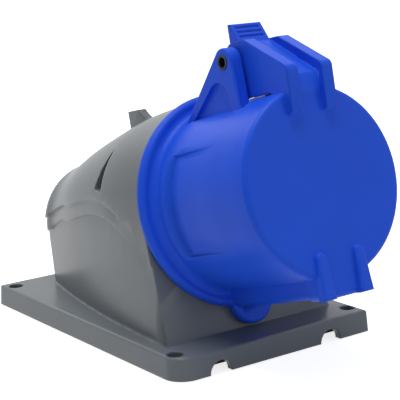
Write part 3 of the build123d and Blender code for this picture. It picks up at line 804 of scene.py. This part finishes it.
@dataclass
class Hinge:
    """The flared tube pin and the coil spring that closes the lid."""

    tube_radius: float = 2.5 * MM
    bore_radius: float = 1.9 * MM
    flare: float = 0.25 * MM
    head_length: float = 0.3 * MM
    coil_radius: float = 4.0 * MM
    wire_radius: float = 0.6 * MM
    pitch: float = 1.7 * MM
    turns: float = 5.5
    steps: int = 40
    wire_sides: int = 14
    sleeve_leg: float = 12.6 * MM
    lid_leg: float = 2.6 * MM
    sleeve_leg_lean: float = 0.25
    tube_sides: int = 72
    tube_sharp: float = math.radians(40)
    wire_sharp: float = math.radians(50)
    centre: Vector = field(default_factory=Vector)

    def build(self, frame: Frame, finishes: Finishes) -> None:
        """Build the pin and the spring at the frame's joint.

        Args:
            frame: The loaded frame.
            finishes: The finishes.
        """
        self.centre = Vector(frame["joints"][0]["pos_m"])
        self._pin(finishes)
        self._spring(finishes)

    def _pin(self, finishes: Finishes) -> None:
        """Turn the tube pin with its flared, rounded ends.

        Args:
            finishes: The finishes.
        """
        low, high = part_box("hinge_pin")
        half = (high[0] - low[0]) / 2
        head = (high[2] - low[2]) / 2
        inner = [
            (self.bore_radius, 0.0),
            (self.bore_radius, half - self.flare),
            (self.bore_radius + self.flare * 0.3, half - self.flare * 0.3),
            (self.bore_radius + self.flare, half),
        ]
        outer = [
            (head - self.flare * 0.4, half),
            (head, half - self.head_length * 0.4),
            (head, half - self.head_length),
            (self.tube_radius, half - self.head_length),
            (self.tube_radius, 0.0),
        ]
        right = inner + outer
        left = [(radius, -station) for radius, station in reversed(right)]
        work = lathe(right + left[1:-1] + right[:1], self.tube_sides, self.centre, ACROSS)
        mesh = bpy.data.meshes.new("hinge_pin_tube")
        work.to_mesh(mesh)
        work.free()
        piece = new_piece("hinge_pin_tube", mesh)
        settle(piece, self.tube_sharp)
        dress(piece, finishes.get(finishes.dark_steel))
        stand_in(piece, "hinge_pin", Body.BASE)

    def _wire(self) -> list[Vector]:
        """Follow the wire from its foot on the sleeve round the pin to its end in the lid.

        Returns:
            The points of the wire's middle line.
        """
        half = self.turns * self.pitch / 2
        start = self.centre + ACROSS * half - FORWARD * self.coil_radius
        down = (-UPWARD - FORWARD * self.sleeve_leg_lean).normalized()
        points = [start + down * self.sleeve_leg, start + down * self.sleeve_leg * 0.5]
        count = round(self.turns * self.steps)
        for index in range(count + 1):
            angle = 2 * math.pi * index / self.steps
            out = UPWARD * math.sin(angle) - FORWARD * math.cos(angle)
            along = half - self.pitch * index / self.steps
            points.append(self.centre + ACROSS * along + out * self.coil_radius)
        points.append(points[-1] - UPWARD * self.lid_leg)
        return points

    def _spring(self, finishes: Finishes) -> None:
        """Draw the round wire along its middle line.

        Args:
            finishes: The finishes.
        """
        points = self._wire()
        mesh = bpy.data.meshes.new("lid_spring_wire")
        mesh.from_pydata(points, [(i, i + 1) for i in range(len(points) - 1)], [])
        piece = new_piece("lid_spring_wire", mesh)
        tree = GeometryTree("round_wire")
        radius = tree.declare("Wire radius", "NodeSocketFloat", self.wire_radius)
        sides = tree.declare("Wire sides", "NodeSocketInt", self.wire_sides)
        path = tree.add("GeometryNodeMeshToCurve")
        section = tree.add("GeometryNodeCurvePrimitiveCircle")
        drawn = tree.add("GeometryNodeCurveToMesh")
        drawn.inputs["Fill Caps"].default_value = True
        tree.link(tree.source.outputs["Geometry"], path.inputs["Mesh"])
        tree.link(radius, section.inputs["Radius"])
        tree.link(sides, section.inputs["Resolution"])
        tree.link(path.outputs["Curve"], drawn.inputs["Curve"])
        tree.link(section.outputs["Curve"], drawn.inputs["Profile Curve"])
        tree.finish(drawn.outputs["Mesh"], finishes.get(finishes.dark_steel))
        tree.put_on(piece)
        settle(piece, self.wire_sharp)
        stand_in(piece, "lid_spring", Body.BASE)


@dataclass
class Insert:
    """The dark contact carrier with its brass sockets, spring clips and rubber ring."""

    ways: tuple[str, ...] = ("line", "neutral", "earth")

    def build(self, frame: Frame, finishes: Finishes) -> None:
        """Build the insert's mouldings, contacts, clips and seal.

        Args:
            frame: The loaded frame.
            finishes: The finishes.
        """
        dark = finishes.get(finishes.insert)
        for node in ("contact_carrier", "carrier_back"):
            Moulding(node, Body.BASE).build(frame, dark)
        for way in self.ways:
            contact = Moulding(f"contact_{way}", Body.BASE)
            contact.build(frame, finishes.get(finishes.brass))
            clip = Moulding(f"clip_{way}", Body.BASE)
            clip.build(frame, finishes.get(finishes.steel))
        Moulding("carrier_seal", Body.BASE).build(frame, finishes.get(finishes.rubber))


@dataclass
class ScrewSet:
    """The equal screws of one node, threaded and set on the node's own screws."""

    node: str
    shank: float
    head: float
    head_height: float
    drive: Drive
    thread_pitch: float = 0.6 * MM
    thread_depth: float = 0.16 * MM
    recess_width: float = 0.65 * MM
    recess_depth: float = 0.75 * MM
    slot_reach: float = 3.0
    cross_reach: float = 1.3
    sides: int = 28
    rows_each_pitch: int = 6
    run_in_rows: int = 4
    tip_rows: int = 8
    tip_taper: float = 0.25
    sharp_angle: float = math.radians(30)

    def build(self, frame: Frame, material: bpy.types.Material) -> None:
        """Set one threaded screw on each screw of the node.

        Args:
            frame: The loaded frame.
            material: What the screws wear.
        """
        places, aims, length = self._places(frame["nodes"][self.node])
        screw = self._screw(length)
        mesh = bpy.data.meshes.new(f"{self.node}_set")
        mesh.from_pydata(places, [], [])
        aim = mesh.attributes.new("aim", "FLOAT_VECTOR", "POINT")
        aim.data.foreach_set("vector", [value for vector in aims for value in vector])
        piece = new_piece(f"{self.node}_set", mesh)
        tree = GeometryTree(f"{self.node}_pattern")
        template = tree.declare("Screw", "NodeSocketObject", screw)
        read = tree.add("GeometryNodeObjectInfo", transform_space="ORIGINAL")
        towards = tree.add("GeometryNodeInputNamedAttribute", data_type="FLOAT_VECTOR")
        towards.inputs["Name"].default_value = "aim"
        turn = tree.add("FunctionNodeAlignRotationToVector", axis="Z")
        each = tree.add("GeometryNodeInstanceOnPoints")
        tree.link(template, read.inputs["Object"])
        tree.link(towards.outputs["Attribute"], turn.inputs["Vector"])
        tree.link(turn.outputs["Rotation"], each.inputs["Rotation"])
        tree.link(tree.source.outputs["Geometry"], each.inputs["Points"])
        tree.link(read.outputs["Geometry"], each.inputs["Instance"])
        tree.finish(each.outputs["Instances"], material)
        tree.put_on(piece)
        settle(piece, self.sharp_angle)
        bpy.data.objects.remove(screw)
        stand_in(piece, self.node, Body.BASE)

    def _places(self, node: bpy.types.Object) -> tuple[list[Vector], list[Vector], float]:
        """Find where each screw of the node starts and where it points.

        Args:
            node: The node's object.

        Returns:
            The middle of each head's back, each screw's direction, and their length.
        """
        places, aims, length = [], [], 0.0
        for solid in islands(node):
            middle = sum(solid, Vector()) / len(solid)
            aim = self._aim(middle)
            stations = [point.dot(aim) for point in solid]
            centre = Vector()
            for direction in self._square_to(aim):
                reach = [point.dot(direction) for point in solid]
                centre += direction * (min(reach) + max(reach)) / 2
            places.append(centre + aim * min(stations))
            aims.append(aim)
            length = max(stations) - min(stations)
        return places, aims, length

    def _aim(self, middle: Vector) -> Vector:
        """Point a screw the way it is driven.

        Args:
            middle: The screw's middle.

        Returns:
            Forwards for a screw with a head, towards its contact for a clamping screw.
        """
        if self.head_height > 0:
            return FORWARD.copy()
        off_axis = Vector((middle.x, 0, 0)) + UPWARD * (middle - self._seat()).dot(UPWARD)
        return -off_axis.normalized()

    @staticmethod
    def _seat() -> Vector:
        """Give the point where the connector's axis leaves the housing."""
        low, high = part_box("carrier_seal")
        return (Vector(low) + Vector(high)) / 2

    @staticmethod
    def _square_to(aim: Vector) -> tuple[Vector, Vector]:
        """Give two directions square to a screw.

        Args:
            aim: The screw's direction.

        Returns:
            The two directions.
        """
        first = aim.cross(ACROSS if abs(aim.x) < 0.9 else FORWARD).normalized()
        return first, aim.cross(first)

    def _screw(self, length: float) -> bpy.types.Object:
        """Make one screw along Z, its head's back at 0.

        Args:
            length: From the head's back to the tip.

        Returns:
            The screw's object.
        """
        work = bmesh.new()
        profile = self._head_profile()
        start = profile[-1][1]
        rows = max(2, round((length - start) / self.thread_pitch * self.rows_each_pitch))
        rings = []
        for radius, station in profile:
            rings.append([self._at(radius, station, side) for side in range(self.sides)])
        for row in range(rows + 1):
            station = start + (length - start) * row / rows
            to_tip = (rows - row) / self.tip_rows
            fade = min(1.0, row / self.run_in_rows, to_tip)
            taper = self.tip_taper * self.shank * max(0.0, 1 - to_tip)
            ring = []
            for side in range(self.sides):
                phase = (station / self.thread_pitch - side / self.sides) % 1.0
                depth = self.thread_depth * abs(2 * phase - 1)
                ring.append(self._at(self.shank - depth * fade - taper, station, side))
            rings.append(ring)
        rings.append([self._at(0.0, length, side) for side in range(self.sides)])
        corners = [[work.verts.new(point) for point in ring] for ring in rings]
        for low, high in zip(corners, corners[1:]):
            for side in range(self.sides):
                after = (side + 1) % self.sides
                work.faces.new((low[side], low[after], high[after], high[side]))
        bmesh.ops.remove_doubles(work, verts=work.verts, dist=FINE_WELD / 2)
        bmesh.ops.recalc_face_normals(work, faces=work.faces)
        mesh = bpy.data.meshes.new(f"{self.node}_screw")
        work.to_mesh(mesh)
        work.free()
        screw = new_piece(f"{self.node}_screw", mesh)
        self._cut_recess(screw)
        return screw

    def _head_profile(self) -> list[tuple[float, float]]:
        """Outline the head from its middle to the shank.

        Returns:
            Pairs of radius and station.
        """
        if self.head_height <= 0:
            return [(0.0, 0.0), (self.shank * 0.8, 0.0), (self.shank * 0.96, self.shank * 0.15)]
        tall = self.head_height
        dome = [(0.0, 0.0), (0.45, 0.03), (0.72, 0.12), (0.9, 0.3), (0.98, 0.55), (1.0, 0.8)]
        profile = [(self.head * across, tall * along) for across, along in dome]
        profile += [(self.head * 0.97, tall), (self.shank * 1.02, tall)]
        return profile

    def _at(self, radius: float, station: float, side: int) -> Vector:
        """Place a corner of the screw.

        Args:
            radius: Off the screw's axis.
            station: Along it.
            side: Which of the sides.

        Returns:
            The corner.
        """
        angle = 2 * math.pi * side / self.sides
        return Vector((radius * math.cos(angle), radius * math.sin(angle), station))

    def _cut_recess(self, screw: bpy.types.Object) -> None:
        """Cut the slot or the cross into the screw's head.

        Args:
            screw: The screw's object, whose mesh is exchanged.
        """
        reach = self.slot_reach if self.drive is Drive.SLOT else self.cross_reach
        across = self.head * reach
        for quarter in range(self.drive.value):
            work = bmesh.new()
            size = Matrix.Diagonal((across, self.recess_width, 2 * self.recess_depth, 1))
            turn = Matrix.Rotation(quarter * math.pi / 2, 4, "Z")
            bmesh.ops.create_cube(work, size=1.0, matrix=turn @ size)
            mesh = bpy.data.meshes.new("recess")
            work.to_mesh(mesh)
            work.free()
            cutter = new_piece("recess", mesh)
            cut = screw.modifiers.new("recess", "BOOLEAN")
            cut.operation = "DIFFERENCE"
            cut.solver = "EXACT"
            cut.object = cutter
            settle(screw, self.sharp_angle)
            bpy.data.objects.remove(cutter)


@dataclass
class Fasteners:
    """Every screw of the receptacle."""

    sets: tuple[ScrewSet, ...] = (
        ScrewSet("collar_screws", 1.5 * MM, 2.3 * MM, 1.9 * MM, Drive.CROSS),
        ScrewSet("carrier_screws", 1.2 * MM, 2.1 * MM, 1.6 * MM, Drive.CROSS),
        ScrewSet("carrier_back_screws", 1.2 * MM, 2.1 * MM, 1.6 * MM, Drive.CROSS),
        ScrewSet("terminal_screws", 2.0 * MM, 2.0 * MM, 0.0, Drive.SLOT),
    )

    def build(self, frame: Frame, finishes: Finishes) -> None:
        """Build the screws set by set.

        Args:
            frame: The loaded frame.
            finishes: The finishes.
        """
        for screws in self.sets:
            screws.build(frame, finishes.get(finishes.zinc))


@dataclass
class Lamp:
    """One square soft lamp."""

    name: str
    place: tuple[float, float, float]
    size: float
    power: float

    def hang(self, aim: Vector) -> None:
        """Hang the lamp.

        Args:
            aim: What it points at.
        """
        data = bpy.data.lights.new(self.name, "AREA")
        data.shape = "SQUARE"
        data.size = self.size
        data.energy = self.power
        lamp = bpy.data.objects.new(self.name, data)
        place = Vector(self.place)
        lamp.rotation_euler = (aim - place).to_track_quat("-Z", "Y").to_euler()
        lamp.location = place
        bpy.context.scene.collection.objects.link(lamp)


@dataclass
class Studio:
    """The camera, the soft lights and the pale floor."""

    eye: Vector = field(default_factory=lambda: Vector((-0.29052, -0.43964, 0.16261)))
    right: Vector = field(default_factory=lambda: Vector((0.8140, -0.5793, -0.0438)))
    up: Vector = field(default_factory=lambda: Vector((0.1554, 0.1445, 0.9772)))
    middle: Vector = field(default_factory=lambda: Vector((0, -0.02, 0.05)))
    sensor: float = 36.0
    lens: float = 114.6
    lamps: tuple[Lamp, ...] = (
        Lamp("key", (-0.2, 0.0, 1.5), 0.8, 14),
        Lamp("fill", (1.0, -1.4, 0.9), 1.2, 3.5),
        Lamp("back", (0.0, 1.2, 1.0), 0.9, 3),
    )
    room_light: float = 0.3
    floor_size: float = 8.0
    floor_drop: float = 0.0004
    floor_glow: float = 0.8
    floor_shade: float = 0.8
    nearest: float = 0.01
    farthest: float = 50.0

    def build(self) -> None:
        """Set the camera, the lamps, the room and the floor."""
        self._camera()
        for lamp in self.lamps:
            lamp.hang(self.middle)
        self._room()
        self._floor()
        bpy.context.scene.view_settings.view_transform = "Standard"

    def _camera(self) -> None:
        """Set the camera where the photograph was taken from."""
        data = bpy.data.cameras.new("camera")
        data.sensor_fit = "HORIZONTAL"
        data.sensor_width = self.sensor
        data.lens = self.lens
        data.clip_start = self.nearest
        data.clip_end = self.farthest
        camera = bpy.data.objects.new("camera", data)
        right = self.right.normalized()
        up = (self.up - self.up.project(right)).normalized()
        turn = Matrix((right, up, right.cross(up))).transposed().to_4x4()
        camera.matrix_world = Matrix.Translation(self.eye) @ turn
        bpy.context.scene.collection.objects.link(camera)
        bpy.context.scene.camera = camera

    def _room(self) -> None:
        """Fill the room with plain light and show white behind the object."""
        world = bpy.data.worlds.new("room")
        world.use_nodes = True
        tree = world.node_tree
        tree.nodes.clear()
        output = tree.nodes.new("ShaderNodeOutputWorld")
        room = tree.nodes.new("ShaderNodeBackground")
        room.inputs["Color"].default_value = (1, 1, 1, 1)
        room.inputs["Strength"].default_value = self.room_light
        seen = tree.nodes.new("ShaderNodeBackground")
        seen.inputs["Color"].default_value = (1, 1, 1, 1)
        seen.inputs["Strength"].default_value = 1.0
        path = tree.nodes.new("ShaderNodeLightPath")
        both = tree.nodes.new("ShaderNodeMath")
        both.operation = "MAXIMUM"
        every = tree.nodes.new("ShaderNodeMath")
        every.operation = "MAXIMUM"
        mix = tree.nodes.new("ShaderNodeMixShader")
        tree.links.new(path.outputs["Is Camera Ray"], both.inputs[0])
        tree.links.new(path.outputs["Is Glossy Ray"], both.inputs[1])
        tree.links.new(both.outputs[0], every.inputs[0])
        tree.links.new(path.outputs["Is Transmission Ray"], every.inputs[1])
        tree.links.new(every.outputs[0], mix.inputs[0])
        tree.links.new(room.outputs[0], mix.inputs[1])
        tree.links.new(seen.outputs[0], mix.inputs[2])
        tree.links.new(mix.outputs[0], output.inputs["Surface"])
        bpy.context.scene.world = world

    def _floor(self) -> None:
        """Lay the pale floor just under the object."""
        half = self.floor_size / 2
        mesh = bpy.data.meshes.new("floor")
        corners = [(-half, -half), (half, -half), (half, half), (-half, half)]
        mesh.from_pydata([(x, y, -self.floor_drop) for x, y in corners], [], [(0, 1, 2, 3)])
        floor = new_piece("floor", mesh)
        nodes = Nodes("pale_floor")
        matte = nodes.add("ShaderNodeBsdfDiffuse")
        matte.inputs["Color"].default_value = (*(self.floor_shade,) * 3, 1)
        glow = nodes.add("ShaderNodeEmission")
        glow.inputs["Color"].default_value = (1, 1, 1, 1)
        share = nodes.add("ShaderNodeMath", operation="MULTIPLY")
        share.inputs[1].default_value = self.floor_glow
        nodes.link(nodes.seen(), share.inputs[0])
        nodes.link(share.outputs[0], glow.inputs["Strength"])
        both = nodes.add("ShaderNodeAddShader")
        nodes.link(matte.outputs[0], both.inputs[0])
        nodes.link(glow.outputs[0], both.inputs[1])
        output = nodes.add("ShaderNodeOutputMaterial")
        nodes.link(both.outputs[0], output.inputs["Surface"])
        mesh.materials.append(nodes.material)


def main() -> None:
    """Build every sub-assembly, then the studio."""
    logging.basicConfig(level=logging.INFO, format="%(name)s: %(message)s")
    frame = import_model()
    finishes = Finishes()
    for assembly in (Housing(), Sleeve(), Lid(), Hinge(), Insert(), Fasteners()):
        assembly.build(frame, finishes)
        log.info("built the %s", type(assembly).__name__.lower())
    Studio().build()


if __name__ == "__main__":
    main()
